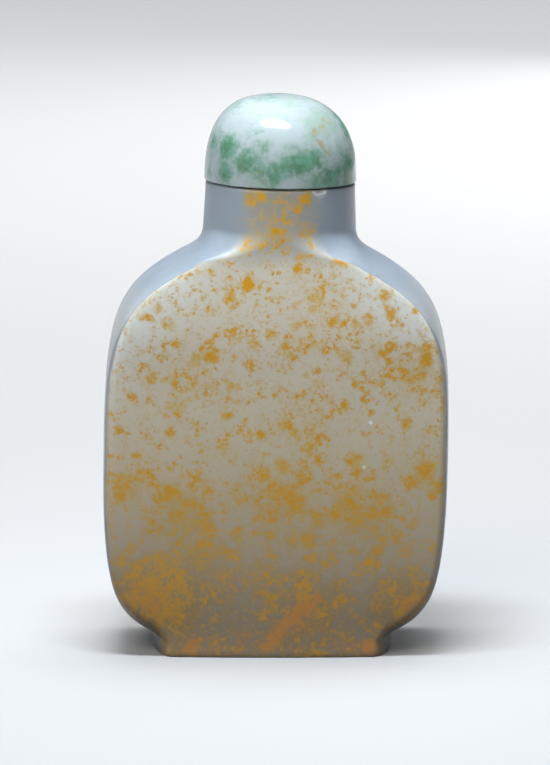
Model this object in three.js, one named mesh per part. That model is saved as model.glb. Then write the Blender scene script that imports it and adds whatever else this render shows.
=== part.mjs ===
// A flattened snuff bottle carved from one piece of pale jade, with a domed jadeite stopper.
// Millimetres, +Z up, front towards -Y. The origin is on the ground, under the middle of the widest part.

import * as THREE from "three";
import { mergeVertices } from "three/addons/utils/BufferGeometryUtils.js";

const { clamp, degToRad, lerp, smoothstep } = THREE.MathUtils;

// Driving dimensions of the bottle's outside
const bottleHeight = 57.6;
const bodyWidth = 42.46;
const bodyDepth = 20.8;
const widestHeight = 21.6;
const footWidth = 29.66;
const footDepth = 19.8;
const footHeight = 2.05;
const footEdge = 0.3;
const neckWidth = 18.8;
const neckRootHeight = 52.4;
const lipWidth = 18.4;
const lipEdge = 0.5;

// The outline between foot, belly and neck: where it turns, at what slope, and how far each bend reaches
const undersideAngle = degToRad(30);
const undersideReach = 4.4;
const bellyFall = 15.4;
const bellyRise = 18.6;
const shoulderReach = 11.2;
const shoulderEndWidth = 22.6;
const shoulderEndHeight = 49.1;
const shoulderAngle = degToRad(27.7);

// How far the flat faces stop short of the outline, square to it, and how much they and the sides bow
const sideRounding = 1.4;
const shoulderRounding = 1.5;
const footRounding = 2.6;
const neckFlat = 0.4;
const faceBow = 0.4;
const sideBow = 0.3;

// How slowly the flat faces run out up the neck, where 1 is a plain ease
const neckSlowness = 1.5;

// Between these heights the foot's form runs into the body's, and the body's into the neck's
const lowerFace = [0, 12];
const cornerBlend = [footHeight, 9];
const shoulderBlend = [40, shoulderEndHeight];
const neckBlend = [38, neckRootHeight];
const endBlend = [32, 45];
const crownBlend = [32, 46];

// The hollow: the mouth, and how much stone is left around the inside
const mouthWidth = 7;
const mouthEdge = 0.4;
const boreLength = 9;
const sideWall = 4.6;
const faceWall = 3.6;
const floorWall = 4.8;
const hollowRounding = 4;
const floorRounding = 1;
const hollowMiddle = 25;
const hollowBend = 0.6;
const hollowDrop = 4.7;

// The bottle leans a little to the right over a level foot
const lean = degToRad(0.97);

// The stopper: a domed cap that rests on the lip, and its cork in the mouth
const capWidth = 18.7;
const capHeight = 10.6;
const capEdge = 0.25;
const domeFullness = 2.52;
const crestShift = -0.45;
const capSeam = 0.15;
const corkLength = 6;
const corkClearance = 0.2;
const corkTaper = 0.25;

// How finely the solids are cut
const faceColumns = 3;
const endColumns = 6;
const slabSideShare = 1 / 3;
const bendSteps = 12;
const filletSteps = 9;
const domeSteps = 12;
const domeSegments = 40;
const corkSegments = 24;

const jade = new THREE.MeshStandardMaterial({ color: 0xc9cabf, roughness: 0.3, metalness: 0 });
const jadeite = new THREE.MeshStandardMaterial({ color: 0xa9d3bd, roughness: 0.12, metalness: 0 });
const cork = new THREE.MeshStandardMaterial({ color: 0xa9794d, roughness: 0.9, metalness: 0 });

function point(halfWidth, height) {
  return new THREE.Vector2(halfWidth, height);
}

// A point at a distance from another, at an angle above the horizontal
function offset(start, distance, angle) {
  return start.clone().add(point(distance * Math.cos(angle), distance * Math.sin(angle)));
}

// Samples a curve of the outline. Each station keeps its point and the way out of the stone's edge there,
// which is to the right of the direction of travel, or to its left along the hollow.
function sample(curve, steps, outward = 1) {
  const stations = [];
  for (let step = 1; step <= steps; step += 1) {
    const at = curve.getPoint(step / steps);
    const travel = curve.getTangent(step / steps);
    stations.push({ at, out: point(travel.y, -travel.x).multiplyScalar(outward) });
  }
  return stations;
}

// How a ring of the body is pressed: its rounding is how far the flat faces stop from the outline, its depth
// is half the bottle's there, and its roundness is 1 where its ends are elliptical and 0 where they are slabs.
function bodyStation(station) {
  const { at, out } = station;
  const side = lerp(footRounding, sideRounding, smoothstep(at.y, ...cornerBlend));
  const shoulder = lerp(side, shoulderRounding, smoothstep(at.y, ...shoulderBlend));
  const neck = clamp((at.y - shoulderEndHeight) / (neckRootHeight - shoulderEndHeight), 0, 1);
  const rounding = lerp(shoulder, at.x - neckFlat / 2, smoothstep(neck ** neckSlowness, 0, 1));
  const face = at.y - out.y * rounding;
  const low = smoothstep(face, ...cornerBlend);
  const high = smoothstep(face, ...neckBlend);
  const body = lerp(footDepth, bodyDepth, smoothstep(face, ...lowerFace)) / 2;
  return {
    ...station,
    rounding,
    depth: lerp(body, neckWidth / 2, high),
    roundness: Math.max(1 - low, smoothstep(face, ...endBlend)),
    bow: lerp(faceBow, 0, smoothstep(face, ...crownBlend)),
  };
}

// A round ring has no flat faces but a sliver, so that the whole bottle is cut in the same columns
function roundStation(station) {
  const { x } = station.at;
  return { ...station, rounding: Math.max(x - neckFlat / 2, 0), depth: x, roundness: 1, bow: 0 };
}

// The middle of a flat floor or underside
function pole(height) {
  return roundStation({ at: point(0, height), out: point(0, -1) });
}

// The foot: a flat underside, a narrow bevel and an upright side
function footStations() {
  const half = footWidth / 2;
  const corners = [point(half - footEdge, 0), point(half, footEdge), point(half, footHeight)];
  const side = corners.map((at) => {
    const station = bodyStation({ at, out: point(1, 0) });
    return { ...station, depth: footDepth / 2 - (half - at.x) };
  });
  return [pole(0), ...side];
}

// The underside, belly and shoulders
function bodyStations() {
  const foot = point(footWidth / 2, footHeight);
  const widest = point(bodyWidth / 2, widestHeight);
  const shoulder = point(shoulderEndWidth / 2, shoulderEndHeight);
  const lower = new THREE.CubicBezierCurve(
    foot,
    offset(foot, undersideReach, undersideAngle),
    point(widest.x, widest.y - bellyFall),
    widest,
  );
  const upper = new THREE.CubicBezierCurve(
    widest,
    point(widest.x, widest.y + bellyRise),
    offset(shoulder, shoulderReach, -shoulderAngle),
    shoulder,
  );
  return [...sample(lower, bendSteps), ...sample(upper, bendSteps)].map(bodyStation);
}

// The hollow curve from the shoulders into the neck, over which the flat faces run out
function filletStations() {
  const start = point(shoulderEndWidth / 2, shoulderEndHeight);
  const end = point(neckWidth / 2, neckRootHeight);
  const corner = point(end.x, start.y + (start.x - end.x) * Math.tan(shoulderAngle));
  const curve = new THREE.QuadraticBezierCurve(start, corner, end);
  return sample(curve, filletSteps).map(bodyStation);
}

// The neck's top edge, the flat lip, the mouth's edge and the bore
function lipStations() {
  const lip = lipWidth / 2;
  const mouth = mouthWidth / 2;
  const ring = [
    point(lip, bottleHeight - lipEdge),
    point(lip - lipEdge * 0.3, bottleHeight - lipEdge * 0.3),
    point(lip - lipEdge, bottleHeight),
    point(mouth + mouthEdge, bottleHeight),
    point(mouth, bottleHeight - mouthEdge),
    point(mouth, bottleHeight - boreLength),
  ];
  return ring.map((at) => roundStation({ at, out: point(1, 0) }));
}

// The hollow inside, from the foot of the bore out under the shoulders and down to the floor
function hollowStations() {
  const bore = point(mouthWidth / 2, bottleHeight - boreLength);
  const side = point(bodyWidth / 2 - sideWall, hollowMiddle);
  const floor = point(side.x * hollowBend, floorWall);
  const ceiling = bore.y - hollowDrop;
  const bend = lerp(side.y, floor.y, hollowBend);
  const upper = new THREE.CubicBezierCurve(bore, point(bore.x, ceiling), point(side.x, ceiling), side);
  const lower = new THREE.CubicBezierCurve(side, point(side.x, bend), point(side.x, floor.y), floor);
  const round = roundStation({ at: bore });
  const inward = -1;
  const stations = [...sample(upper, bendSteps, inward), ...sample(lower, bendSteps, inward)];
  const rings = stations.map((station) => {
    const open = smoothstep(station.at.y, ceiling, bore.y);
    const low = smoothstep(station.at.y, floor.y, floor.y + hollowRounding);
    const rounding = lerp(floorRounding, hollowRounding, low);
    const halfDepth = bodyDepth / 2 - faceWall - (hollowRounding - rounding) / 2;
    return {
      ...round,
      ...station,
      rounding: lerp(rounding, round.rounding, open),
      depth: lerp(halfDepth, round.depth, open),
    };
  });
  return [...rings, pole(floor.y)];
}

// The columns round the bottle, from the middle of the front: across a flat face, then round an end
function ringColumns() {
  const face = [];
  for (let step = 0; step < faceColumns; step += 1) {
    face.push({ across: step / faceColumns, turn: -Math.PI / 2 });
  }
  const end = [];
  for (let step = 0; step <= endColumns * 2; step += 1) {
    end.push({ across: 1, turn: (step / endColumns - 1) * Math.PI / 2 });
  }
  const back = face.slice(1).reverse().map((column) => ({ ...column, turn: Math.PI / 2 }));
  const right = [...face, ...end, ...back];
  const half = right.map((column) => ({ ...column, side: 1 }));
  return [...half, ...half.map((column) => ({ across: column.across, turn: -column.turn, side: -1 }))];
}

// An elliptical end: how far a point is in from the outline, and how far out from the middle of the depth
function roundEnd(rounding, depth, turn) {
  return [rounding * (1 - Math.cos(turn)), depth * Math.sin(turn)];
}

// A slab's side: a slightly bowed flat, then a rounded corner as deep as it is wide
function slabEnd(rounding, depth, turn) {
  const share = Math.abs(turn) / (Math.PI / 2);
  const flat = depth - rounding;
  const alongSide = Math.min(share / slabSideShare, 1);
  const corner = Math.max(share - slabSideShare, 0) / (1 - slabSideShare) * (Math.PI / 2);
  const inset = sideBow * alongSide ** 2 + (rounding - sideBow) * (1 - Math.cos(corner));
  return [inset, Math.sign(turn) * (flat * alongSide + rounding * Math.sin(corner))];
}

// Where a turned point lies once its ring is pressed flat between the two faces
function pressed({ at, out, rounding, depth, roundness, bow }, { side, across, turn }) {
  const edge = depth - bow;
  const round = roundEnd(rounding, edge, turn);
  const slab = slabEnd(rounding, edge, turn);
  const inset = lerp(slab[0], round[0], roundness);
  const crown = bow * (1 - across ** 2) * Math.sin(turn);
  const x = side * across * (at.x - out.x * inset);
  return new THREE.Vector3(x, lerp(slab[1], round[1], roundness) + crown, at.y - out.y * inset);
}

// Leans a point about the widest part. Rings are level at the foot and tip with the lean by the shoulders.
function leaned(place) {
  const tipping = smoothstep(place.z, 0, shoulderBlend[0]);
  const x = place.x + (place.z - widestHeight) * Math.sin(lean);
  return new THREE.Vector3(x, place.y, place.z - place.x * Math.sin(lean) * tipping);
}

// Turns the whole profile once, then presses every ring between the flat faces
function bottleGeometry() {
  const stations = [
    ...footStations(),
    ...bodyStations(),
    ...filletStations(),
    ...lipStations(),
    ...hollowStations(),
  ];
  const columns = ringColumns();
  const turned = new THREE.LatheGeometry(stations.map((station) => station.at), columns.length);
  const { position } = turned.attributes;
  for (let index = 0; index < position.count; index += 1) {
    const station = stations[index % stations.length];
    const column = columns[Math.floor(index / stations.length) % columns.length];
    const place = leaned(pressed(station, column));
    position.setXYZ(index, place.x, place.y, place.z);
  }
  return closed(turned);
}

// Joins a turned shape along its seam and at its poles
function closed(geometry) {
  geometry.deleteAttribute("normal");
  geometry.deleteAttribute("uv");
  const merged = mergeVertices(geometry, 1e-4);
  merged.computeVertexNormals();
  return merged;
}

// A turned shape with its axis upright
function turnedUpright(profile, segments) {
  return closed(new THREE.LatheGeometry(profile, segments)).rotateX(Math.PI / 2);
}

// A hand-cut dome, with its crest a little to the left of its middle
function capGeometry() {
  const radius = capWidth / 2;
  const profile = [point(0, 0), point(radius - capEdge, 0)];
  for (let step = 0; step <= domeSteps; step += 1) {
    const angle = (step / domeSteps) * (Math.PI / 2);
    const out = radius * Math.max(Math.cos(angle), 0) ** (2 / domeFullness);
    const up = (capHeight - capEdge) * Math.sin(angle) ** (2 / domeFullness);
    profile.push(point(out, capEdge + up));
  }
  const dome = turnedUpright(profile, domeSegments);
  const { position } = dome.attributes;
  for (let index = 0; index < position.count; index += 1) {
    const rise = position.getZ(index) / capHeight;
    position.setX(index, position.getX(index) + crestShift * rise ** 2);
  }
  return dome;
}

function corkGeometry() {
  const top = mouthWidth / 2 - corkClearance;
  const bottom = top - corkTaper;
  const profile = [point(0, -corkLength), point(bottom, -corkLength), point(top, 0), point(0, 0)];
  return turnedUpright(profile, corkSegments);
}

function named(name, geometry, material) {
  const mesh = new THREE.Mesh(geometry, material);
  mesh.name = name;
  return mesh;
}

// The stopper stands on the middle of the lip and leans with it
function makeStopper() {
  const stopper = new THREE.Group();
  const cap = named("stopper_cap", capGeometry(), jadeite);
  cap.position.z = capSeam;
  stopper.add(cap, named("stopper_cork", corkGeometry(), cork));
  stopper.position.copy(leaned(new THREE.Vector3(0, 0, bottleHeight)));
  stopper.rotation.y = lean;
  return stopper;
}

const snuffBottle = new THREE.Group();
snuffBottle.add(named("bottle", bottleGeometry(), jade), makeStopper());

export default snuffBottle;
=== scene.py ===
"""A flattened snuff bottle of pale jade with a gold-flecked skin, and its domed jadeite stopper."""

import math
from typing import NamedTuple

import bmesh
import bpy
from bl_math import clamp, lerp, smoothstep
from bpy.props import FloatProperty, FloatVectorProperty, IntProperty, PointerProperty
from bpy.types import Operator, Panel, PropertyGroup
from mathutils import Matrix, Vector, noise


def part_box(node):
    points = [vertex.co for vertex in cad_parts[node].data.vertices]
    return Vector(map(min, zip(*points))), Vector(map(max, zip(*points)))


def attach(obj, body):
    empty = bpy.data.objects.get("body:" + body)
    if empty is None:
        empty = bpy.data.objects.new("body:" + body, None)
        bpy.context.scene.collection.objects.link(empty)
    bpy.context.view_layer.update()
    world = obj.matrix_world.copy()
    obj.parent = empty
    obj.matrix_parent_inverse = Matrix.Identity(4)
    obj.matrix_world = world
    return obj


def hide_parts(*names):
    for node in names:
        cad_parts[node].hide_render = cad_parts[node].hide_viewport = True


bl_info = {
    "name": "Jade snuff bottle",
    "version": (1, 0, 0),
    "blender": (4, 5, 0),
    "location": "3D View > Sidebar > Snuff bottle",
    "description": "Carves a flattened jade snuff bottle with a domed jadeite stopper",
    "category": "Object",
}

MM = 0.001
WELD = 1e-6
SHARP = math.radians(38)

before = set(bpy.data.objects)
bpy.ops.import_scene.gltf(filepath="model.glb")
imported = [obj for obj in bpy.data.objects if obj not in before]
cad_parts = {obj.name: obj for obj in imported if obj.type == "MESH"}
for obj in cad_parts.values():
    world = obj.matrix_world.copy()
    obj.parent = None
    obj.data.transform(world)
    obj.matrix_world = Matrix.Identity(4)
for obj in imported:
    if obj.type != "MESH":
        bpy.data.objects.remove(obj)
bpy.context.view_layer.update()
bottle_low, bottle_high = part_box("bottle")
cap_low, cap_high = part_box("stopper_cap")


def length(name, description, millimetres):
    return FloatProperty(
        name=name, description=description, default=millimetres * MM, unit="LENGTH", precision=5
    )


def heights(name, description, low, high):
    return FloatVectorProperty(
        name=name, description=description, size=2, default=(low * MM, high * MM), unit="LENGTH"
    )


def angle(name, description, degrees):
    return FloatProperty(
        name=name, description=description, default=math.radians(degrees), subtype="ANGLE"
    )


def share(name, description, default):
    return FloatProperty(name=name, description=description, default=default)


def count(name, description, default):
    return IntProperty(name=name, description=description, default=default, min=1)


def tint(name, description, *default):
    return FloatVectorProperty(
        name=name, description=description, size=4, default=(*default, 1), min=0, max=1, subtype="COLOR"
    )


class BottleSizes(PropertyGroup):
    """The bottle's outline, how it is pressed flat, and its hollow"""

    height: length("Height", "From the ground to the lip", 57.6)
    body_width: length("Body width", "Across the widest part", 42.45)
    body_depth: length("Body depth", "Through the flat faces", (bottle_high.y - bottle_low.y) / MM)
    widest_height: length("Widest height", "Where the body is widest", 21.6)
    foot_width: length("Foot width", "Across the foot", 29.66)
    foot_depth: length("Foot depth", "Through the foot", 19.8)
    foot_height: length("Foot height", "Height of the foot's upright side", 2.05)
    foot_edge: length("Foot edge", "Bevel round the underside", 0.3)
    neck_width: length("Neck width", "Across the neck where it leaves the shoulders", 18.8)
    neck_root: length("Neck root", "Height where the neck begins", 52.4)
    lip_width: length("Lip width", "Across the top of the neck", 18.4)
    lip_edge: length("Lip edge", "Rounding of the lip's outer edge", 0.3)
    underside_angle: angle("Underside slope", "Slope of the body just above the foot", 30)
    underside_reach: length("Underside reach", "How far that slope pulls the bend", 4.4)
    belly_fall: length("Belly fall", "How far the upright side reaches down", 15.4)
    belly_rise: length("Belly rise", "How far the upright side reaches up", 18.6)
    shoulder_reach: length("Shoulder reach", "How far the shoulder's slope pulls the bend", 11.2)
    shoulder_width: length("Shoulder end width", "Across the upper end of the shoulders", 22.6)
    shoulder_height: length("Shoulder end height", "Height of the upper end of the shoulders", 49.1)
    shoulder_angle: angle("Shoulder slope", "Slope at the upper end of the shoulders", 27.7)
    side_rounding: length("Side rounding", "How far the faces stop short of the sides", 1.4)
    shoulder_rounding: length("Shoulder rounding", "The same at the shoulders", 1.5)
    foot_rounding: length("Foot rounding", "The same at the foot", 2.6)
    neck_flat: length("Neck flat", "Width of the sliver of face left on the neck", 0.4)
    neck_slowness: share("Neck slowness", "How slowly the faces run out into the neck", 1.5)
    face_bow: length("Face bow", "How far the faces bow outwards", 0.4)
    side_bow: length("Side bow", "How far the narrow sides bow outwards", 0.3)
    lower_face: heights("Lower face", "Between these heights the faces fall back to the foot", 0, 12)
    corner_blend: heights("Corner blend", "Between these heights the foot's corners run out", 2.05, 9)
    shoulder_blend: heights("Shoulder blend", "Between these heights the edges soften", 40, 49.1)
    neck_blend: heights("Neck blend", "Between these heights the faces turn into the neck", 38, 52.4)
    end_blend: heights("End blend", "Between these heights the ends turn from slabs to ellipses", 32, 45)
    crown_blend: heights("Crown blend", "Between these heights the faces lose their bow", 32, 46)
    mouth_width: length("Mouth width", "Across the mouth", 7)
    mouth_edge: length("Mouth edge", "Bevel round the mouth", 0.4)
    bore_length: length("Bore length", "How deep the mouth is drilled straight", 9)
    side_wall: length("Side wall", "Stone left at the sides", 4.6)
    face_wall: length("Face wall", "Stone left at the faces", 3.6)
    floor_wall: length("Floor wall", "Stone left under the hollow", 4.8)
    hollow_rounding: length("Hollow rounding", "Rounding of the hollow's sides", 4)
    floor_rounding: length("Floor rounding", "Rounding of the hollow's floor", 1)
    hollow_middle: length("Hollow middle", "Height where the hollow is widest", 25)
    hollow_bend: share("Hollow bend", "How far the hollow keeps its width towards its floor", 0.6)
    hollow_drop: length("Hollow drop", "From the bore's foot to the hollow's ceiling", 4.7)
    lean: angle("Lean", "How far the bottle leans to the right over its level foot", 0.97)
    face_columns: count("Face columns", "Cuts across half of a face", 20)
    end_columns: count("End columns", "Cuts round a quarter of the section", 28)
    bend_steps: count("Bend steps", "Cuts along the underside and along the shoulders", 60)
    side_skin: angle("Skin at the sides", "How far the flecked skin runs round the faces' edges", 38)
    shoulder_skin: angle("Skin at the shoulders", "The same at the shoulders", 5)
    neck_skin: angle("Skin on the neck", "The same round the neck", 30)
    polish_depth: length("Polish depth", "How uneven the hand polish is", 0.05)
    polish_spacing: length("Polish spacing", "How far apart its hollows are", 6)
    chip_width: length("Chip width", "Across the chip on the lip", 1.5)
    chip_depth: length("Chip depth", "How deep that chip is", 0.35)


class StopperSizes(PropertyGroup):
    """The domed cap and the cork under it"""

    width: length("Cap width", "Across the cap", (cap_high.y - cap_low.y) / MM)
    height: length("Cap height", "From its flat underside to its crest", 10.6)
    edge: length("Cap edge", "Bevel round the underside", 0.15)
    fullness: share("Dome fullness", "2 is an ellipse, and more is fuller", 2.52)
    crest_shift: length("Crest shift", "How far the crest is right of the middle", -0.45)
    seam: length("Seam", "Gap between the lip and the cap", 0.1)
    cut_depth: length("Cut depth", "How uneven the hand cutting is", 0.07)
    cut_spacing: length("Cut spacing", "How far apart its hollows are", 5)
    nick_width: length("Nick width", "Across the nick in the cap's right side", 0.9)
    nick_depth: length("Nick depth", "How deep that nick is", 0.2)
    cork_length: length("Cork length", "How deep the cork goes into the mouth", 6)
    cork_clearance: length("Cork clearance", "Gap between the cork and the mouth", 0.2)
    cork_taper: length("Cork taper", "How much the cork narrows downwards", 0.25)
    cork_pitting: length("Cork pitting", "How uneven the cork's cut surface is", 0.06)
    dome_steps: count("Dome steps", "Cuts from the cap's edge to its crest", 48)
    dome_segments: count("Dome segments", "Cuts round the cap", 128)
    cork_steps: count("Cork steps", "Cuts along the cork", 16)
    cork_segments: count("Cork segments", "Cuts round the cork", 64)


class StoneColours(PropertyGroup):
    """The colours of the jade, the jadeite and the cork"""

    jade_cool: tint("Cool jade", "The bare stone of the neck, shoulders and sides", 0.27, 0.325, 0.385)
    jade_cloud: tint("Clouded jade", "The bare stone's soft clouds", 0.32, 0.37, 0.42)
    # Painted light and shade: the neck's tone, set for how the neck is lit under the cap; here a little
    # lighter than the cool stone.
    jade_shade: tint("Shaded jade", "The bare stone of the neck", 0.32, 0.37, 0.42)
    # Painted light: a paler stone low on the sides and on the back, where the lights are weak.
    jade_painted_fill: tint("Plain jade", "The bare stone low on the sides and on the back", 0.60, 0.61, 0.59)
    # Painted light: the paler stone towards the upper edges of the faces stands in for light glowing
    # through from the shoulders.
    jade_painted_glow: tint("Pale jade", "The stone high on the faces, towards their edges", 0.72, 0.75, 0.73)
    jade_warm: tint("Warm jade", "The stone high on the faces", 0.64, 0.605, 0.52)
    jade_honey: tint("Honey jade", "The stone lower on the faces", 0.60, 0.545, 0.43)
    # Painted shade: darkens the stone towards the foot, and the skin under the cap, where less light
    # falls.
    jade_painted_shade: tint("Stain", "What deepens the stone towards the foot", 0.49, 0.455, 0.425)
    haze: tint("Haze", "The pale yellow round the flecks", 0.60, 0.42, 0.12)
    gold: tint("Gold", "The flecks' thin parts", 0.60, 0.45, 0.12)
    amber: tint("Amber", "The flecks' hearts", 0.68, 0.35, 0.012)
    copper: tint("Copper", "The flecks near the foot", 0.58, 0.31, 0.02)
    russet: tint("Russet", "The stained veins near the foot", 0.60, 0.26, 0.035)
    # Partly painted highlight: white for the frosted chip on the lip, and for the glints painted on the
    # face.
    chip_and_glint_white: tint("Chip", "Fresh stone in the chips", 0.86, 0.88, 0.90)
    mint: tint("Mint", "The jadeite's pale ground", 0.33, 0.43, 0.39)
    snow: tint("Snow", "The jadeite's whitest parts", 0.42, 0.49, 0.505)
    moss: tint("Moss", "The jadeite's green mottles", 0.045, 0.21, 0.085)
    teal: tint("Teal", "The green's cooler parts", 0.10, 0.30, 0.20)
    tan: tint("Tan", "The jadeite's brown veins", 0.36, 0.30, 0.14)
    cork: tint("Cork", "The cork's ground", 0.40, 0.22, 0.10)
    cork_pit: tint("Cork pit", "The cork's pits", 0.12, 0.06, 0.03)


class StudioSettings(PropertyGroup):
    """The camera, the floor and the lights"""

    elevation: angle("Camera elevation", "How far the camera looks down", 9.4)
    distance: length("Camera distance", "From the camera to what it looks at", 745)
    aim: FloatVectorProperty(
        name="Aim",
        description="The point that the camera looks at",
        size=3,
        default=(-0.05 * MM, 0, 32.55 * MM),
        subtype="TRANSLATION",
    )
    frame_scale: share("Frame scale", "Pixels for each millimetre at that point", 8.12)
    frame_width: count("Frame width", "The picture's width in pixels", 550)
    frame_height: count("Frame height", "The picture's height in pixels", 765)
    floor: tint("Floor", "The pale floor and backdrop", 0.52, 0.53, 0.54)
    overhead: share("Overhead light", "Strength of the soft light above, in watts", 0.55)
    front: share("Front light", "Strength of the soft light in front, in watts", 2.0)
    side: share("Side light", "Strength of the soft light at the left, in watts", 0.2)
    fill: share("Fill light", "Strength of the soft light on the back, in watts", 1.8)
    back: share("Back light", "Strength of the soft light over the floor behind, in watts", 6.0)
    room: share("Room light", "Strength of the light all round", 0.08)


class Station(NamedTuple):
    """A ring of the bottle: its place on the outline, its way out, and how it is pressed"""

    at: Vector
    out: Vector
    rounding: float
    depth: float
    roundness: float
    bow: float


class Column(NamedTuple):
    """A place round a ring: its side, how far across the face, and how far round the end"""

    side: int
    across: float
    turn: float


def rise(value, low, high):
    return smoothstep(low, high, value)


def point(half_width, height):
    return Vector((half_width, height))


def offset(start, distance, slope):
    return start + point(distance * math.cos(slope), distance * math.sin(slope))


def bend(start, first, second, end, steps, outward=1):
    """Places along a smooth bend after its start, each with the way out of the stone there"""
    found = []
    for step in range(1, steps + 1):
        done = step / steps
        left = 1 - done
        at = start * left**3 + 3 * first * left**2 * done + 3 * second * left * done**2 + end * done**3
        travel = (first - start) * left**2 + 2 * (second - first) * left * done + (end - second) * done**2
        out = point(travel.y, -travel.x).normalized() * outward
        found.append((at, out))
    return found


def straight(start, end, steps):
    return [(start.lerp(end, step / steps), point(1, 0)) for step in range(1, steps + 1)]


def body_station(sizes, at, out):
    """How a ring of the body is pressed between the two faces"""
    side = lerp(sizes.foot_rounding, sizes.side_rounding, rise(at.y, *sizes.corner_blend))
    shoulder = lerp(side, sizes.shoulder_rounding, rise(at.y, *sizes.shoulder_blend))
    neck = clamp((at.y - sizes.shoulder_height) / (sizes.neck_root - sizes.shoulder_height), 0, 1)
    rounding = lerp(shoulder, at.x - sizes.neck_flat / 2, rise(neck**sizes.neck_slowness, 0, 1))
    face = at.y - out.y * rounding
    low = rise(face, *sizes.corner_blend)
    high = rise(face, *sizes.neck_blend)
    body = lerp(sizes.foot_depth, sizes.body_depth, rise(face, *sizes.lower_face)) / 2
    return Station(
        at,
        out,
        rounding,
        depth=lerp(body, sizes.neck_width / 2, high),
        roundness=max(1 - low, rise(face, *sizes.end_blend)),
        bow=lerp(sizes.face_bow, 0, rise(face, *sizes.crown_blend)),
    )


def round_station(sizes, at, out):
    """A round ring, which has no flat faces but a sliver"""
    return Station(at, out, max(at.x - sizes.neck_flat / 2, 0), depth=at.x, roundness=1, bow=0)


def pole(sizes, height):
    return round_station(sizes, point(0, height), point(0, -1))


def foot_stations(sizes):
    half = sizes.foot_width / 2
    edge = sizes.foot_edge
    below = point(half - 2 * edge, 0)
    places = [below, point(half - edge, 0), point(half - edge * 0.3, edge * 0.3), point(half, edge)]
    places += [point(half, edge + (sizes.foot_height - edge) * step / 4) for step in range(1, 5)]
    stations = []
    for at in places:
        station = body_station(sizes, at, point(1, 0))
        stations.append(station._replace(depth=sizes.foot_depth / 2 - (half - at.x)))
    return [pole(sizes, 0), *stations]


def side_stations(sizes):
    foot = point(sizes.foot_width / 2, sizes.foot_height)
    widest = point(sizes.body_width / 2, sizes.widest_height)
    shoulder = point(sizes.shoulder_width / 2, sizes.shoulder_height)
    lower = bend(
        foot,
        offset(foot, sizes.underside_reach, sizes.underside_angle),
        widest - point(0, sizes.belly_fall),
        widest,
        sizes.bend_steps,
    )
    upper = bend(
        widest,
        widest + point(0, sizes.belly_rise),
        offset(shoulder, sizes.shoulder_reach, -sizes.shoulder_angle),
        shoulder,
        sizes.bend_steps,
    )
    return [body_station(sizes, at, out) for at, out in lower + upper]


def fillet_stations(sizes):
    start = point(sizes.shoulder_width / 2, sizes.shoulder_height)
    end = point(sizes.neck_width / 2, sizes.neck_root)
    corner = point(end.x, start.y + (start.x - end.x) * math.tan(sizes.shoulder_angle))
    places = bend(start, start.lerp(corner, 2 / 3), end.lerp(corner, 2 / 3), end, sizes.bend_steps // 2)
    return [body_station(sizes, at, out) for at, out in places]


def lip_stations(sizes):
    lip = sizes.lip_width / 2
    mouth = sizes.mouth_width / 2
    edge = sizes.lip_edge
    top = sizes.height
    band = top - 1.2 * MM
    neck = straight(point(sizes.neck_width / 2, sizes.neck_root), point(lip, band), 8)
    edges = straight(point(lip, band), point(lip, top - edge), 4)
    places = [at for at, out in neck + edges]
    for step in range(1, 5):
        turn = step / 4 * math.pi / 2
        places.append(point(lip - edge + edge * math.cos(turn), top - edge + edge * math.sin(turn)))
    places += [
        point(lip - 1.4 * edge, top),
        point(mouth + 1.4 * sizes.mouth_edge, top),
        point(mouth + sizes.mouth_edge, top),
        point(mouth + sizes.mouth_edge * 0.3, top - sizes.mouth_edge * 0.3),
        point(mouth, top - sizes.mouth_edge),
    ]
    bore = straight(places[-1], point(mouth, top - sizes.bore_length), 8)
    places += [at for at, out in bore]
    return [round_station(sizes, at, point(1, 0)) for at in places]


def hollow_stations(sizes):
    """The hollow, from the foot of the bore out under the shoulders and down to its floor"""
    bore = point(sizes.mouth_width / 2, sizes.height - sizes.bore_length)
    side = point(sizes.body_width / 2 - sizes.side_wall, sizes.hollow_middle)
    floor = point(side.x * sizes.hollow_bend, sizes.floor_wall)
    ceiling = bore.y - sizes.hollow_drop
    turn = lerp(side.y, floor.y, sizes.hollow_bend)
    steps = sizes.bend_steps // 3
    upper = bend(bore, point(bore.x, ceiling), point(side.x, ceiling), side, steps, outward=-1)
    lower = bend(side, point(side.x, turn), point(side.x, floor.y), floor, steps, outward=-1)
    round_one = round_station(sizes, bore, point(1, 0))
    rings = []
    for at, out in upper + lower:
        open_share = rise(at.y, ceiling, bore.y)
        low = rise(at.y, floor.y, floor.y + sizes.hollow_rounding)
        rounding = lerp(sizes.floor_rounding, sizes.hollow_rounding, low)
        half = sizes.body_depth / 2 - sizes.face_wall - (sizes.hollow_rounding - rounding) / 2
        rings.append(
            round_one._replace(
                at=at,
                out=out,
                rounding=lerp(rounding, round_one.rounding, open_share),
                depth=lerp(half, round_one.depth, open_share),
            )
        )
    return [*rings, pole(sizes, floor.y)]


def ring_columns(sizes):
    """The places round a ring, from the middle of the front: across a face, then round an end"""
    quarter = math.pi / 2
    face = [(step / sizes.face_columns, -quarter) for step in range(sizes.face_columns)]
    ends = range(2 * sizes.end_columns + 1)
    end = [(1, (step / sizes.end_columns - 1) * quarter) for step in ends]
    back = [(across, quarter) for across, turn in reversed(face[1:])]
    right = [Column(1, across, turn) for across, turn in face + end + back]
    return right + [Column(-1, column.across, -column.turn) for column in right]


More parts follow.
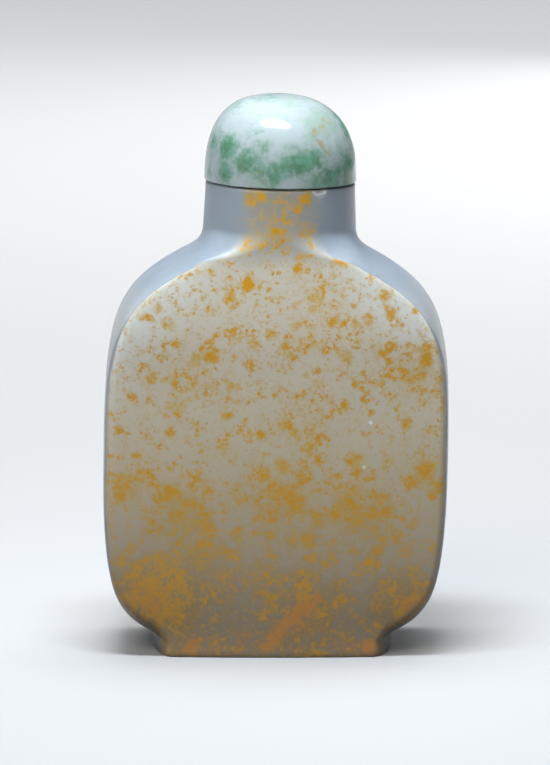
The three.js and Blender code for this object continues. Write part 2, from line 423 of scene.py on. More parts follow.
def pressed(sizes, station, column):
    """Where a turned place lies once its ring is pressed flat between the two faces"""
    at, out, rounding, depth, roundness, bow = station
    edge = depth - bow
    quarter = math.pi / 2
    flat_share = 1 / 3
    gone = abs(column.turn) / quarter
    along_side = min(gone / flat_share, 1)
    corner = max(gone - flat_share, 0) / (1 - flat_share) * quarter
    slab_inset = sizes.side_bow * along_side**2 + (rounding - sizes.side_bow) * (1 - math.cos(corner))
    slab_depth = (edge - rounding) * along_side + rounding * math.sin(corner)
    round_inset = rounding * (1 - math.cos(column.turn))
    inset = lerp(slab_inset, round_inset, roundness)
    crown = bow * (1 - column.across**2) * math.sin(column.turn)
    y = lerp(math.copysign(slab_depth, column.turn), edge * math.sin(column.turn), roundness) + crown
    return Vector((column.side * column.across * (at.x - out.x * inset), y, at.y - out.y * inset))


def skin_at(sizes, station, column):
    """How much of the flecked skin a place carries: 1 on the front, -1 on the back, 0 at the sides"""
    neck = station.rounding / station.at.x if station.at.x else 1
    body = lerp(sizes.side_skin, sizes.shoulder_skin, rise(station.at.y, *sizes.end_blend))
    reach = lerp(body, sizes.neck_skin, rise(neck, 0.2, 1))
    away = math.pi / 2 - abs(column.turn)
    return math.copysign(1 - rise(away, 0, 2 * reach), -column.turn)


def leaned(sizes, place):
    """Tips the rings with the lean towards the shoulders, and leaves them level at the foot"""
    slope = math.sin(sizes.lean)
    tipping = rise(place.z, 0, sizes.shoulder_blend[0])
    x = place.x + (place.z - sizes.widest_height) * slope
    return Vector((x, place.y, place.z - place.x * slope * tipping))


def turned(profile, steps):
    """Turns a profile of radii and heights, from axis to axis, into a closed shape"""
    shape = bmesh.new()
    ring = shape.verts.layers.int.new("ring")
    chain = []
    for number, at in enumerate(profile):
        chain.append(shape.verts.new((0, -at.x, at.y)))
        chain[-1][ring] = number
    edges = [shape.edges.new(pair) for pair in zip(chain, chain[1:])]
    bmesh.ops.spin(
        shape, geom=chain + edges, axis=(0, 0, 1), angle=math.tau, steps=steps, use_merge=True
    )
    bmesh.ops.remove_doubles(shape, verts=shape.verts, dist=WELD)
    return shape


def uneven(shape, depth, spacing):
    """Sinks the surface a little here and there, as hand work leaves it, but not at the underside"""
    settled_by = 1.5 * MM
    bmesh.ops.recalc_face_normals(shape, faces=shape.faces)
    shape.normal_update()
    for vert in shape.verts:
        wave = 0.5 + 0.5 * noise.fractal(vert.co / spacing, 1, 2, 2)
        settled = rise(vert.co.z, 0, settled_by)
        vert.co -= vert.normal * depth * clamp(wave, 0, 1) * settled


def dent(shape, centre, width, depth):
    """Presses a small ragged chip into the surface"""
    crumb = 0.25 * MM
    shape.normal_update()
    for vert in shape.verts:
        away = (vert.co - centre).length / (width / 2)
        if away < 1:
            ragged = 0.75 + 0.5 * noise.noise(vert.co / crumb)
            vert.co -= vert.normal * depth * rise(1 - away, 0, 0.6) * ragged


def piece(name, shape, material, node):
    """Makes a shape into a finished piece that stands for a node of the frame"""
    bmesh.ops.recalc_face_normals(shape, faces=shape.faces)
    for face in shape.faces:
        face.smooth = True
    mesh = bpy.data.meshes.new(name)
    shape.to_mesh(mesh)
    shape.free()
    mesh.set_sharp_from_angle(angle=SHARP)
    mesh.materials.append(material)
    made = bpy.data.objects.new(name, mesh)
    bpy.context.scene.collection.objects.link(made)
    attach(made, "root")
    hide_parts(node)
    return made


class Value:
    """An output of a shader node, so that shader maths reads as an expression"""

    def __init__(self, shader, socket):
        self.shader = shader
        self.socket = socket

    def maths(self, operation, first, second):
        return self.shader.node("ShaderNodeMath", {"operation": operation}, {0: first, 1: second})

    def __add__(self, other):
        return self.maths("ADD", self, other)

    def __radd__(self, other):
        return self.maths("ADD", other, self)

    def __sub__(self, other):
        return self.maths("SUBTRACT", self, other)

    def __rsub__(self, other):
        return self.maths("SUBTRACT", other, self)

    def __mul__(self, other):
        return self.maths("MULTIPLY", self, other)

    def __rmul__(self, other):
        return self.maths("MULTIPLY", other, self)

    def larger(self, other):
        return self.maths("MAXIMUM", self, other)


class Shader:
    """A material under construction"""

    def __init__(self, name):
        self.material = bpy.data.materials.new(name)
        self.material.use_nodes = True
        self.tree = self.material.node_tree
        self.tree.nodes.clear()
        coordinates = self.node("ShaderNodeTexCoord", output="Object")
        self.place = self.vector("SCALE", coordinates, scale=1 / MM)

    def node(self, kind, settings=None, inputs=None, output=0):
        """Any node: its settings first, then the values or links of its sockets"""
        made = self.tree.nodes.new(kind)
        for setting, value in (settings or {}).items():
            setattr(made, setting, value)
        for key, value in (inputs or {}).items():
            if isinstance(value, Value):
                self.tree.links.new(value.socket, made.inputs[key])
            else:
                made.inputs[key].default_value = value
        return Value(self, made.outputs[output]) if made.outputs else None

    def vector(self, operation, first, second=(0, 0, 0), scale=1.0, output=0):
        settings = {"operation": operation}
        inputs = {0: first, 3: scale} if operation == "SCALE" else {0: first, 1: second}
        return self.node("ShaderNodeVectorMath", settings, inputs, output)

    def ease(self, value, low, high, start=0.0, end=1.0):
        """A smooth step from start to end as the value goes from low to high"""
        settings = {"interpolation_type": "SMOOTHSTEP"}
        inputs = {0: value, 1: low, 2: high, 3: start, 4: end}
        return self.node("ShaderNodeMapRange", settings, inputs)

    def mix(self, amount, first, second):
        return self.node("ShaderNodeMix", {"data_type": "RGBA"}, {0: amount, 6: first, 7: second}, 2)

    def multiply(self, amount, first, second):
        settings = {"data_type": "RGBA", "blend_type": "MULTIPLY"}
        return self.node("ShaderNodeMix", settings, {0: amount, 6: first, 7: second}, 2)

    def cloud(self, place, scale, detail=2.0, roughness=0.5, output=0):
        """Soft noise, with its scale in waves for each millimetre"""
        inputs = {"Vector": place, "Scale": scale, "Detail": detail, "Roughness": roughness}
        return self.node("ShaderNodeTexNoise", None, inputs, output)

    def warped(self, place, scale, reach):
        """Places pushed about by noise, which makes the edges of a patch ragged"""
        push = self.vector("SUBTRACT", self.cloud(place, scale, 3.0, 0.6, 1), (0.5, 0.5, 0.5))
        return self.vector("ADD", place, self.vector("SCALE", push, scale=2 * reach))

    def near(self, place, centre, radius, strength=1.0, core=0.3):
        """How near a place is to a centre: full strength inside the core, nothing past the radius"""
        distance = self.vector("DISTANCE", place, centre, output=1)
        return self.ease(distance, radius * core, radius, strength, 0.0)

    def axis(self, place, letter):
        return self.node("ShaderNodeSeparateXYZ", None, {0: place}, letter)

    def finish(self, colour, roughness, height, bump, same):
        """The surface itself, with the values that are the same all over it set on its sockets"""
        normal = self.node(
            "ShaderNodeBump", None, {"Strength": bump, "Distance": 0.1 * MM, "Height": height}
        )
        surface = self.node(
            "ShaderNodeBsdfPrincipled",
            None,
            {"Base Color": colour, "Roughness": roughness, "Normal": normal, **same},
        )
        self.node("ShaderNodeOutputMaterial", None, {"Surface": surface})
        return self.material


# The clearest flecks on the front: right of the middle, height, radius in millimetres, and strength
FLECKS = (
    (3.6, 56.6, 1.2, 0.9), (4.7, 53.0, 1.1, 0.5), (-1.8, 50.9, 1.1, 0.7), (2.7, 48.2, 1.2, 0.9),
    (7.6, 49.0, 1.3, 0.7), (7.0, 47.2, 0.9, 0.5), (-5.2, 43.4, 0.9, 0.6), (4.6, 44.6, 1.4, 0.5),
    (4.4, 43.2, 0.9, 0.5), (-12.9, 41.4, 1.3, 0.4), (-8.6, 44.8, 0.9, 0.5), (13.7, 43.3, 1.0, 0.7),
    (14.0, 42.6, 1.2, 0.9), (2.6, 41.2, 0.9, 0.6), (1.9, 37.6, 1.1, 0.5), (-9.4, 37.0, 1.4, 0.6),
    (-15.2, 34.7, 1.3, 0.8), (-17.3, 32.4, 0.9, 0.9), (13.9, 36.8, 0.8, 0.9), (12.2, 37.2, 0.8, 0.5),
    (18.2, 38.4, 1.7, 0.7), (18.4, 36.9, 1.6, 1.0), (17.9, 35.2, 1.1, 0.8), (16.3, 34.5, 1.0, 0.7),
    (5.1, 35.7, 1.0, 0.7), (5.2, 34.0, 1.1, 0.5), (10.7, 33.5, 0.9, 0.7), (-5.3, 33.7, 1.2, 0.7),
    (5.6, 30.8, 1.1, 0.5), (-5.9, 30.1, 1.3, 0.8), (-12.0, 31.2, 1.8, 0.5), (0.9, 29.0, 1.5, 0.6),
    (2.4, 28.2, 0.9, 0.8), (4.4, 28.3, 1.2, 0.6), (15.9, 29.3, 1.3, 0.8), (-18.9, 28.4, 0.9, 0.9),
    (11.2, 27.9, 0.8, 0.6), (3.9, 26.0, 1.3, 0.6), (-6.6, 26.0, 1.9, 0.5), (-17.1, 25.2, 1.0, 0.8),
    (9.6, 24.6, 1.7, 0.8), (9.8, 23.3, 1.2, 0.8), (0.8, 24.0, 1.3, 0.8), (-1.2, 22.9, 1.0, 0.9),
    (13.7, 24.6, 1.2, 0.5), (18.5, 23.4, 1.8, 0.9), (17.3, 22.2, 1.1, 0.6), (19.1, 20.4, 1.0, 0.9),
    (-18.8, 22.4, 1.1, 0.7), (-18.9, 20.2, 1.3, 0.9), (-17.3, 20.6, 0.9, 0.5), (-12.8, 20.6, 1.7, 0.9),
    (-10.6, 19.4, 1.5, 0.6), (-12.4, 17.9, 1.5, 0.7), (-9.0, 16.8, 1.7, 0.7), (-4.4, 20.3, 2.2, 0.4),
    (0.9, 20.6, 1.6, 0.7), (2.2, 19.1, 1.5, 1.0), (5.2, 17.0, 1.6, 0.6), (4.0, 14.9, 1.7, 0.8),
    (2.2, 14.4, 1.4, 0.6), (10.1, 17.0, 1.4, 0.7), (16.6, 16.6, 1.1, 0.6), (4.4, 12.6, 1.3, 0.8),
    (12.4, 13.5, 1.1, 0.8), (12.4, 11.8, 0.9, 0.8), (14.7, 14.6, 0.8, 0.7), (-1.0, 15.3, 0.9, 0.6),
    (-4.5, 15.0, 1.3, 0.5), (-9.4, 12.2, 1.9, 0.5), (-2.2, 11.9, 1.1, 0.4), (3.9, 8.9, 0.9, 0.8),
    (2.6, 10.1, 1.2, 0.5), (-2.1, 8.2, 1.3, 0.5), (-0.6, 7.2, 0.9, 0.5), (7.6, 8.9, 0.9, 0.5),
    (17.6, 8.3, 1.8, 0.5), (15.8, 6.2, 1.8, 0.6), (12.4, 6.2, 1.6, 0.6), (-16.6, 9.2, 2.0, 0.6),
    (-14.6, 6.6, 2.4, 0.6), (-11.3, 6.4, 1.6, 0.4), (4.6, 6.9, 1.4, 0.7), (6.0, 6.2, 1.1, 0.5),
)

# More of them, noted as places in the picture: across, down, radius in millimetres, and strength
SEEN_FLECKS = (
    (250, 205, 1.3, 0.9), (262, 200, 1.3, 0.8), (298, 212, 1.1, 0.9), (285, 222, 0.9, 0.6),
    (275, 235, 1.3, 0.8), (300, 258, 1.0, 0.7), (248, 285, 1.5, 1.1), (230, 299, 1.2, 0.8),
    (159, 310, 1.2, 0.6), (384, 297, 1.3, 0.8), (415, 312, 0.9, 0.8), (333, 322, 1.2, 0.8),
    (355, 324, 0.9, 0.6), (368, 324, 1.1, 0.6), (272, 335, 1.1, 0.8), (286, 345, 1.3, 0.7),
    (254, 345, 1.3, 0.6), (176, 345, 1.0, 0.9), (211, 356, 1.5, 1.0), (346, 358, 1.4, 0.6),
    (384, 353, 0.9, 1.0), (355, 385, 0.9, 0.9), (345, 406, 1.1, 0.7), (260, 435, 1.1, 1.0),
    (170, 433, 1.3, 0.8), (349, 503, 1.3, 0.9), (373, 514, 1.4, 0.8), (388, 510, 1.0, 0.8),
)

# The stained veins and smears near the foot: the same four numbers
STAINS = (
    (5.0, 7.4, 1.4, 0.9), (4.2, 6.7, 1.5, 1.0), (3.4, 6.0, 1.6, 1.0), (2.6, 5.3, 1.5, 1.0),
    (1.8, 4.6, 1.6, 1.0), (1.0, 3.8, 1.5, 1.0), (0.3, 3.0, 1.5, 1.0), (-0.4, 2.2, 1.5, 1.0),
    (-1.1, 1.4, 1.5, 1.0), (3.4, 4.3, 2.6, 0.4), (-10.2, 1.3, 2.2, 0.8), (-7.6, 1.1, 1.6, 0.5),
    (-16.6, 9.0, 2.6, 0.4), (-15.2, 6.6, 3.0, 0.5), (11.6, 1.4, 1.7, 1.0), (9.4, 1.2, 1.6, 0.5),
    (16.4, 6.6, 2.2, 0.6), (-4.4, 2.4, 2.2, 0.3), (7.6, 1.8, 2.4, 0.3),
)

# Painted highlights: the small white glints on the face, where small pits catch the light: the same four
# numbers
GLINTS = ((11.6, 29.3, 0.35, 0.7), (10.8, 23.8, 0.3, 0.6))

# The broad areas where the flecks crowd together: right of the middle, height, radius, strength
CROWDS = (
    (0.5, 53.5, 6.5, 0.35), (-11.0, 18.5, 8.0, 0.8), (1.0, 20.0, 9.0, 0.7), (10.5, 18.0, 8.0, 0.8),
    (17.5, 36.0, 6.0, 0.7), (-14.5, 7.5, 8.0, 1.6), (4.0, 6.0, 8.0, 0.5), (-9.0, 36.5, 7.0, 0.3),
    (15.5, 7.0, 6.0, 1.0), (6.0, 42.0, 8.0, 0.3), (3.0, 28.0, 7.0, 0.4), (-9.0, 12.0, 7.0, 0.6),
    (18.0, 22.5, 5.0, 0.6), (-17.5, 22.0, 5.0, 0.6),
)

# The jadeite's green mottles: right of the cap's middle, towards the front, up, radius and strength
MOTTLES = (
    (-6.2, 5.8, 4.6, 2.0, 1.0), (-6.8, 6.2, 2.0, 1.8, 0.9), (-8.2, 3.4, 5.2, 2.0, 0.6),
    (-4.2, 7.6, 3.3, 1.9, 0.9), (-2.6, 8.6, 2.6, 1.6, 0.7), (-0.6, 9.2, 2.0, 1.7, 0.9),
    (1.0, 9.0, 2.8, 1.8, 0.9), (2.4, 8.5, 3.2, 1.8, 1.0), (3.8, 7.9, 3.7, 1.6, 0.8),
    (-3.3, 7.3, 6.6, 1.6, 0.35), (-2.2, 8.2, 4.9, 1.5, 0.45), (1.8, 8.4, 4.6, 1.4, 0.4),
    (3.6, 7.6, 5.6, 1.5, 0.3), (-1.8, 2.0, 10.2, 1.8, 0.5), (-5.4, 2.4, 8.6, 2.0, 0.35),
    (8.0, 0.5, 6.8, 2.2, 1.0), (8.8, 0.6, 4.9, 1.8, 0.7), (6.9, 4.8, 3.5, 1.8, 0.45),
    (5.4, 7.0, 1.6, 2.0, 0.6), (8.2, 3.8, 2.0, 2.4, 0.6), (-5.0, -6.8, 4.0, 3.2, 0.7),
    (3.5, -7.0, 6.0, 3.0, 0.6), (0.0, -5.0, 9.0, 2.2, 0.4), (7.0, -5.0, 3.0, 2.6, 0.6),
    (6.2, 6.6, 1.0, 2.0, 0.9), (8.3, 3.6, 1.2, 2.2, 1.2), (4.4, 8.1, 0.6, 1.4, 0.6),
    (8.9, 1.4, 2.8, 1.4, 0.8), (-8.6, 3.0, 1.2, 1.2, 0.7),
)

# The jadeite's tan veins, in the same way
VEINS = (
    (5.6, 4.4, 7.9, 1.3, 0.9), (4.9, 5.6, 7.0, 1.3, 0.9), (4.2, 6.6, 6.4, 1.3, 0.8),
    (4.7, 7.0, 5.2, 1.2, 1.0), (5.2, 7.2, 4.4, 0.9, 0.9), (6.2, 3.6, 8.2, 1.2, 0.6),
    (3.0, 4.0, 9.0, 1.4, 0.4), (0.6, 3.0, 9.9, 1.6, 0.3), (-4.7, 7.9, 4.6, 0.6, 0.7),
    (-4.8, 8.1, 3.8, 0.6, 0.7), (-4.8, 8.1, 3.0, 0.6, 0.6), (-4.8, 8.2, 2.2, 0.6, 0.6),
    (-4.8, 8.2, 1.4, 0.6, 0.6), (-4.8, 8.2, 0.6, 0.6, 0.6), (-2.6, 8.8, 2.0, 0.8, 0.6),
    (-6.4, 6.6, 0.6, 1.0, 0.4), (9.2, 1.0, 3.0, 0.7, 0.6),
)


def seen_on_face(scene, across, down):
    """Where a place in the picture lies on the front face: right of the middle, and height, in mm"""
    studio = scene.snuff_studio
    face = scene.snuff_bottle.body_depth / 2
    nearer = studio.distance - face * math.cos(studio.elevation)
    scale = studio.frame_scale * studio.distance / nearer
    x = studio.aim[0] / MM + (across - studio.frame_width / 2) / scale
    up = (studio.frame_height / 2 - down) / scale + face / MM * math.sin(studio.elevation)
    return x, studio.aim[2] / MM + up / math.cos(studio.elevation)


def bare_jade(shader, looks, height, facing):
    """The bare stone: cool on the neck and shoulders, with a painted tone on the neck for its light under
    the cap, and painted paler low on the sides and on the back, where little light falls
    """
    mottle = shader.cloud(shader.place, 0.16, 3.0, 0.6)
    ground = shader.mix(shader.ease(mottle, 0.35, 0.68), looks.jade_cool, looks.jade_cloud)
    # Painted light and shade: the neck takes its own tone for how it is lit under the cap.
    ground = shader.mix(shader.ease(height, 50.0, 55.0), ground, looks.jade_shade)
    # Painted light: paler low on the sides and on the back, which the lights reach only weakly.
    painted_fill = shader.ease(height, 48.0, 38.0).larger(shader.ease(facing, -0.2, -0.7))
    painted_fill = painted_fill * shader.ease(facing, 0.3, 0.0) * shader.ease(mottle, 0.3, 0.6, 1.0, 0.75)
    return shader.mix(painted_fill, ground, looks.jade_painted_fill)


def warm_jade(shader, looks, height, flat, ragged):
    """The stone of the face: honey low down, and painted paler towards the upper edges, where light glows
    through from the shoulders
    """
    out = shader.vector("LENGTH", shader.vector("SUBTRACT", flat, (0, 0, 27)), output=1)
    aside = shader.node("ShaderNodeMath", {"operation": "ABSOLUTE"}, {0: shader.axis(flat, "X")})
    warm = shader.mix(shader.ease(height, 45.0, 24.0), looks.jade_warm, looks.jade_honey)
    # Painted light: paler towards the upper edges, for the light glowing through from the shoulders.
    edges = shader.ease(out + ragged * 2.0, 16.0, 23.0) * shader.ease(aside, 3.0, 13.0)
    return shader.mix(edges * shader.ease(height, 24.0, 42.0), warm, looks.jade_painted_glow)


def chip_and_glint_spots(shader, flat, skin, grain, chip_at):
    """The chip on the lip, which is flattened, white as frosted stone and as a painted highlight, and the
    painted highlights on the face
    """
    chipped = shader.vector("MULTIPLY", shader.vector("SUBTRACT", shader.place, chip_at / MM), (1, 1, 2.5))
    lip = shader.near(chipped, (0, 0, 0), 1.2, core=0.6) * shader.ease(grain, 0.25, 0.45)
    return lip.larger(patches(shader, flat, GLINTS, core=0.4) * skin)


def jade_material(looks, flecks, chip_at):
    """Pale waxy jade with a skin of golden flecks on its front"""
    shader = Shader("speckled_jade")
    place = shader.place
    height = shader.axis(place, "Z")
    flat = shader.vector("MULTIPLY", place, (1, 0, 1))
    ragged = (shader.cloud(place, 0.4, 3.0, 0.6) - 0.5) * 0.7
    facing = shader.node("ShaderNodeAttribute", {"attribute_name": "skin"}, None, "Fac")
    skin = shader.ease(facing + ragged, 0.35, 0.8)
    back_skin = shader.ease(ragged - facing, 0.5, 1.1, 0.0, 0.42)

    crowded = patches(shader, shader.warped(flat, 0.2, 1.5), CROWDS, core=0.0)
    torn = shader.warped(shader.warped(flat, 0.55, 0.7), 2.2, 0.32)
    clear_flecks = patches(shader, torn, flecks, core=0.15)
    stains = patches(shader, shader.warped(flat, 0.8, 0.6), STAINS, core=0.1)

    low = shader.ease(height, 30.0, 0.0)
    grain = shader.cloud(place, 2.1, 4.0, 0.65)
    islands = shader.cloud(shader.warped(place, 1.4, 0.35), 0.62, 4.0, 0.72)
    scattered = shader.ease(islands + crowded * 0.13, 0.46, 0.70, 0.0, 0.85)
    small = shader.ease(shader.cloud(place, 1.35, 3.0, 0.7), 0.5, 0.7, 0.0, 0.65)
    density = clear_flecks.larger(scattered).larger(small)
    tiny = shader.warped(place, 3.0, 0.12)
    crystals = shader.node("ShaderNodeTexVoronoi", None, {"Vector": tiny, "Scale": 2.3}, "Color")
    spark = shader.axis(crystals, "X")
    fleck = shader.ease(density * 1.15 + (grain - 0.5) * 1.6 - spark * 0.5, -0.15, 0.95)

    ground = bare_jade(shader, looks, height, facing)
    warm = warm_jade(shader, looks, height, flat, ragged)
    skinned = shader.mix(skin * shader.ease(height, 47.5, 51.0, 1.0, 0.4), ground, warm)
    hazy = shader.ease(crowded * 0.4 + islands + clear_flecks * 0.35 + low * 0.16, 0.42, 0.95, 0.0, 0.8)
    colour = shader.mix(hazy * skin, skinned, looks.haze)
    # Painted shade: darker towards the foot and on the skin just under the cap, where less light reaches.
    painted_shade = low.larger(shader.ease(height, 49.0, 56.0, 0.0, 0.5) * skin)
    colour = shader.multiply(painted_shade, colour, looks.jade_painted_shade)
    gold = shader.mix(shader.ease(fleck + spark * 0.25, 0.3, 1.0), looks.gold, looks.amber)
    gold = shader.mix(low, gold, looks.copper)
    colour = shader.mix(fleck * skin.larger(back_skin), colour, gold)
    stained = shader.ease(stains + (grain - 0.5) * 1.8, 0.1, 0.9, 0.0, 0.8) * skin
    colour = shader.mix(stained, colour, looks.russet)
    # Partly painted highlight: the lip's chip is frosted stone that also stands in for its glint, and the
    # face's glints are painted.
    chip_and_glint = chip_and_glint_spots(shader, flat, skin, grain, chip_at)
    colour = shader.mix(chip_and_glint, colour, looks.chip_and_glint_white)

    pits = shader.ease(shader.cloud(place, 1.1, 1.0), 0.72, 0.8)
    roughness = 0.30 + grain * 0.08 + pits * 0.3 + chip_and_glint * 0.2
    relief = shader.cloud(place, 0.5, 2.0) * 0.6 + grain * 0.15 - pits * 0.5
    same = {
        "IOR": 1.6,
        "Subsurface Weight": 0.6,
        "Subsurface Radius": (1.0, 0.95, 0.85),
        "Subsurface Scale": 3 * MM,
    }
    return shader.finish(colour, roughness, relief, 0.12, same)


def patches(shader, places, spots, core):
    """The strongest of many round patches, given by their place on the front, radius and strength"""
    found = None
    for x, z, radius, strength in spots:
        spot = shader.near(places, (x, 0, z), radius, strength, core)
        found = found.larger(spot) if found else spot
    return found


def jadeite_material(looks, foot_of_cap):
    """Glassy white jadeite, mottled green and veined with tan"""
    shader = Shader("mottled_jadeite")
    place = shader.vector("SUBTRACT", shader.place, foot_of_cap / MM)
    milky = shader.cloud(shader.warped(place, 0.25, 1.5), 0.22, 4.0, 0.6)
    leftward = 0 - shader.axis(place, "X")
    ground = shader.mix(shader.ease(milky + leftward * 0.014, 0.37, 0.58), looks.mint, looks.snow)

    torn = shader.warped(shader.warped(place, 0.35, 1.0), 1.2, 0.35)
    green = None
    for x, front, z, radius, strength in MOTTLES:
        spot = shader.near(torn, (x, -front, z), 1.7 * radius, strength, 0.1)
        green = green.larger(spot) if green else spot
    fibre = shader.cloud(place, 1.1, 5.0, 0.7)
    mossy = shader.ease(green + (fibre - 0.5) * 1.5, 0.1, 1.0)
    shade = shader.mix(shader.ease(shader.cloud(place, 0.5, 3.0), 0.4, 0.6), looks.moss, looks.teal)
    colour = shader.mix(mossy * 0.85, ground, shade)

    brown = None
    for x, front, z, radius, strength in VEINS:
        spot = shader.near(torn, (x, -front, z), radius, strength, 0.0)
        brown = brown.larger(spot) if brown else spot
    veined = shader.ease(brown + (fibre - 0.5) * 2.4, 0.2, 1.1)
    colour = shader.mix(veined * 0.75, colour, looks.tan)

    roughness = 0.09 + fibre * 0.06
    same = {
        "IOR": 1.66,
        "Subsurface Weight": 0.3,
        "Subsurface Radius": (0.9, 1.0, 0.9),
        "Subsurface Scale": 1.2 * MM,
    }
    return shader.finish(colour, roughness, shader.cloud(place, 0.6, 2.0), 0.08, same)


def cork_material(looks):
    """Matt cork with dark pits"""
    shader = Shader("cork")
    place = shader.place
    pits = shader.ease(shader.cloud(place, 1.8, 3.0, 0.6), 0.56, 0.68)
    shade = shader.cloud(place, 0.9, 4.0, 0.7)
    colour = shader.mix(pits.larger(shader.ease(shade, 0.5, 0.75, 0.0, 0.4)), looks.cork, looks.cork_pit)
    roughness = 0.8 + shade * 0.15
    return shader.finish(colour, roughness, shade - pits, 0.6, {"IOR": 1.4})


class SNUFF_OT_bottle(Operator):
    """Turn the jade bottle from its profile, hollow and all, and press it flat"""

    bl_idname = "snuff.bottle"
    bl_label = "Jade bottle"

    def execute(self, context):
        sizes = context.scene.snuff_bottle
        stations = foot_stations(sizes) + side_stations(sizes) + fillet_stations(sizes)
        stations += lip_stations(sizes) + hollow_stations(sizes)
        columns = ring_columns(sizes)
        shape = turned([station.at for station in stations], len(columns))
        ring = shape.verts.layers.int["ring"]
        skin = shape.verts.layers.float.new("skin")
        for vert in shape.verts:
            around = math.atan2(vert.co.x, -vert.co.y) / math.tau * len(columns)
            column = columns[round(around) % len(columns)]
            station = stations[vert[ring]]
            vert[skin] = skin_at(sizes, station, column)
            vert.co = leaned(sizes, pressed(sizes, station, column))
        uneven(shape, sizes.polish_depth, sizes.polish_spacing)
        chip_at = lip_chip(sizes)
        dent(shape, chip_at, sizes.chip_width, sizes.chip_depth)
        seen = [(*seen_on_face(context.scene, *spot[:2]), *spot[2:]) for spot in SEEN_FLECKS]
        material = jade_material(context.scene.snuff_colours, [*FLECKS, *seen], chip_at)
        piece("bottle_stone", shape, material, "bottle")
        return {"FINISHED"}


def lip_chip(sizes):
    """The middle of the chip on the lip, right of the front"""
    around = math.radians(31.5)
    radius = sizes.lip_width / 2
    edge = Vector((radius * math.sin(around), -radius * math.cos(around), sizes.height - sizes.lip_edge))
    return leaned(sizes, edge)


def stopper_seat(sizes):
    """The place and lean of the stopper on the middle of the lip"""
    middle = leaned(sizes, Vector((0, 0, sizes.height)))
    return Matrix.Translation(middle) @ Matrix.Rotation(sizes.lean, 4, "Y")


class SNUFF_OT_cap(Operator):
    """Turn the domed jadeite cap and set it on the lip"""

    bl_idname = "snuff.cap"
    bl_label = "Jadeite cap"

    def execute(self, context):
        sizes = context.scene.snuff_stopper
        radius = sizes.width / 2
        profile = [point(0, 0), point(radius - 3 * sizes.edge, 0), point(radius - sizes.edge, 0)]
        for step in range(sizes.dome_steps + 1):
            turn = step / sizes.dome_steps * math.pi / 2
            out = radius * max(math.cos(turn), 0) ** (2 / sizes.fullness)
            up = (sizes.height - sizes.edge) * math.sin(turn) ** (2 / sizes.fullness)
            profile.append(point(out, sizes.edge + up))
        shape = turned(profile, sizes.dome_segments)
        for vert in shape.verts:
            vert.co.x += sizes.crest_shift * (vert.co.z / sizes.height) ** 2
            vert.co.z += sizes.seam
        seat = stopper_seat(context.scene.snuff_bottle)
        bmesh.ops.transform(shape, matrix=seat, verts=shape.verts)
        uneven(shape, sizes.cut_depth, sizes.cut_spacing)
        dent(shape, seat @ Vector((radius, 0, 3 * MM)), sizes.nick_width, sizes.nick_depth)
        material = jadeite_material(context.scene.snuff_colours, seat.translation)
        piece("stopper_dome", shape, material, "stopper_cap")
        return {"FINISHED"}


class SNUFF_OT_cork(Operator):
    """Turn the cork and set it in the mouth under the cap"""

    bl_idname = "snuff.cork"
    bl_label = "Cork"

    def execute(self, context):
        sizes = context.scene.snuff_stopper
        bottle = context.scene.snuff_bottle
        top = bottle.mouth_width / 2 - sizes.cork_clearance
        bottom = top - sizes.cork_taper
        profile = [point(0, -sizes.cork_length), point(bottom - sizes.cork_taper, -sizes.cork_length)]
        for step in range(sizes.cork_steps + 1):
            down = 1 - step / sizes.cork_steps
            profile.append(point(lerp(top, bottom, down), -down * (sizes.cork_length - sizes.cork_taper)))
        profile.append(point(0, 0))
        shape = turned(profile, sizes.cork_segments)
        bmesh.ops.transform(shape, matrix=stopper_seat(bottle), verts=shape.verts)
        uneven(shape, sizes.cork_pitting, 10 * sizes.cork_pitting)
        material = cork_material(context.scene.snuff_colours)
        piece("stopper_plug", shape, material, "stopper_cork")
        return {"FINISHED"}


def soft_light(name, place, aim, width, depth, watts, colour, glossy=False):
    """A soft light that faces a point. It shows in the polish, as an ellipse, only if it is glossy."""
    data = bpy.data.lights.new(name, "AREA")
    data.shape = "ELLIPSE" if glossy else "RECTANGLE"
    data.size = width
    data.size_y = depth
    data.energy = watts
    data.color = colour
    light = bpy.data.objects.new(name, data)
    light.location = place
    light.rotation_euler = (aim - place).to_track_quat("-Z", "Y").to_euler()
    light.visible_glossy = glossy
    bpy.context.scene.collection.objects.link(light)
    return data


def sweep_material(studio):
    """Matt pale paper"""
    shader = Shader("pale_floor")
    relief = shader.cloud(shader.place, 1.0)
    return shader.finish(studio.floor, 0.9, relief, 0.02, {"Specular IOR Level": 0.2})


def pale_sweep(studio):
    """A floor that curves up into a backdrop"""
    half, depth, radius, top = 1.5, 0.7, 0.5, 1.6
    shape = bmesh.new()
    places = [Vector((-half, -1.5, 0)), Vector((-half, depth, 0))]
    for step in range(1, 17):
        turn = step / 16 * math.pi / 2
        places.append(Vector((-half, depth + radius * math.sin(turn), radius * (1 - math.cos(turn)))))
    places.append(Vector((-half, depth + radius, top)))
    verts = [shape.verts.new(place) for place in places]
    edges = [shape.edges.new(pair) for pair in zip(verts, verts[1:])]
    pulled = bmesh.ops.extrude_edge_only(shape, edges=edges)["geom"]
    moved = [item for item in pulled if isinstance(item, bmesh.types.BMVert)]
    bmesh.ops.translate(shape, verts=moved, vec=(2 * half, 0, 0))
    for face in shape.faces:
        face.smooth = True
    mesh = bpy.data.meshes.new("pale_sweep")
    shape.to_mesh(mesh)
    shape.free()
    mesh.materials.append(sweep_material(studio))
    sweep = bpy.data.objects.new("pale_sweep", mesh)
    bpy.context.scene.collection.objects.link(sweep)
    sweep.visible_diffuse = False


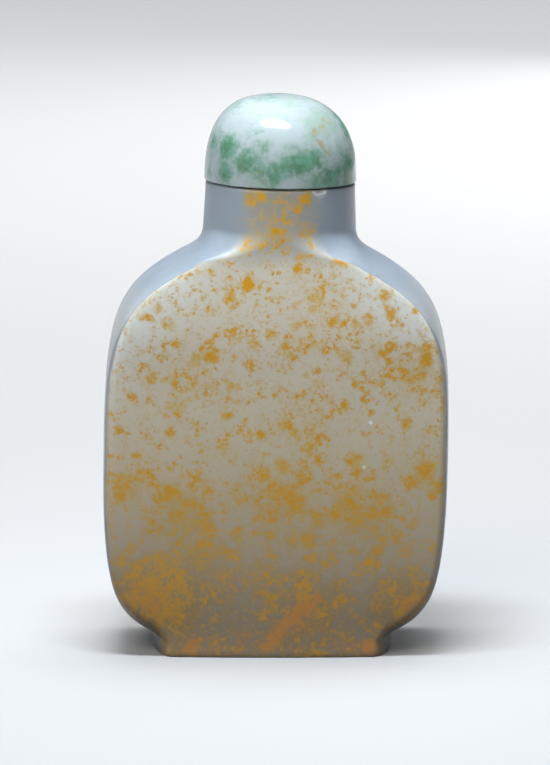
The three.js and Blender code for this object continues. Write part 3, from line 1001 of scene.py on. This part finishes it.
class SNUFF_OT_studio(Operator):
    """Set up the pale floor, the soft lights and the camera"""

    bl_idname = "snuff.studio"
    bl_label = "Studio"

    def execute(self, context):
        studio = context.scene.snuff_studio
        pale_sweep(studio)
        aim = Vector(studio.aim)
        middle = Vector((0, 0, 0.03))
        cool = (0.86, 0.93, 1.0)
        overhead = Vector((-0.012, -0.061, 0.232))
        soft_light("overhead", overhead, middle, 0.12, 0.042, studio.overhead, cool, glossy=True)
        soft_light("front", Vector((-0.2, -0.5, 0.45)), middle, 0.4, 0.3, studio.front, (1.0, 0.95, 0.88))
        soft_light("side", Vector((-0.5, -0.1, 0.3)), middle, 0.3, 0.3, studio.side, cool)
        soft_light("fill", Vector((0.3, 0.5, 0.14)), middle, 0.5, 0.4, studio.fill, (1.0, 0.98, 0.95))
        behind = Vector((0, 0.5, 0.9))
        back = soft_light("back", behind, Vector((0, 0.5, 0)), 1.6, 0.9, studio.back, (1.0, 1.0, 1.0))
        back.spread = math.radians(70)

        data = bpy.data.cameras.new("camera")
        data.sensor_width = 36
        data.lens = studio.frame_scale * studio.distance / MM * data.sensor_width / studio.frame_height
        camera = bpy.data.objects.new("camera", data)
        view = Vector((0, -math.cos(studio.elevation), math.sin(studio.elevation)))
        camera.location = aim + studio.distance * view
        camera.rotation_euler = (math.pi / 2 - studio.elevation, 0, 0)
        context.scene.collection.objects.link(camera)
        context.scene.camera = camera

        world = bpy.data.worlds.new("room")
        world.use_nodes = True
        background = world.node_tree.nodes["Background"]
        background.inputs["Color"].default_value = (0.85, 0.9, 1.0, 1)
        background.inputs["Strength"].default_value = studio.room
        context.scene.world = world
        context.scene.view_settings.view_transform = "Standard"
        return {"FINISHED"}


class SNUFF_PT_sidebar(Panel):
    """The bottle's pieces and their sizes"""

    bl_idname = "SNUFF_PT_sidebar"
    bl_label = "Snuff bottle"
    bl_space_type = "VIEW_3D"
    bl_region_type = "UI"
    bl_category = "Snuff bottle"

    def draw(self, context):
        layout = self.layout
        for operator in OPERATORS:
            layout.operator(operator.bl_idname)
        for group in GROUPS:
            settings = getattr(context.scene, group)
            box = layout.box()
            box.label(text=GROUPS[group].__doc__)
            for name in GROUPS[group].__annotations__:
                box.prop(settings, name)


GROUPS = {
    "snuff_bottle": BottleSizes,
    "snuff_stopper": StopperSizes,
    "snuff_colours": StoneColours,
    "snuff_studio": StudioSettings,
}
OPERATORS = (SNUFF_OT_studio, SNUFF_OT_bottle, SNUFF_OT_cap, SNUFF_OT_cork)


def register():
    for group, kind in GROUPS.items():
        bpy.utils.register_class(kind)
        setattr(bpy.types.Scene, group, PointerProperty(type=kind))
    for operator in OPERATORS:
        bpy.utils.register_class(operator)
    bpy.utils.register_class(SNUFF_PT_sidebar)


def unregister():
    bpy.utils.unregister_class(SNUFF_PT_sidebar)
    for operator in reversed(OPERATORS):
        bpy.utils.unregister_class(operator)
    for group, kind in GROUPS.items():
        delattr(bpy.types.Scene, group)
        bpy.utils.unregister_class(kind)


def main():
    register()
    bpy.ops.snuff.studio()
    bpy.ops.snuff.bottle()
    bpy.ops.snuff.cap()
    bpy.ops.snuff.cork()


if __name__ == "__main__":
    main()
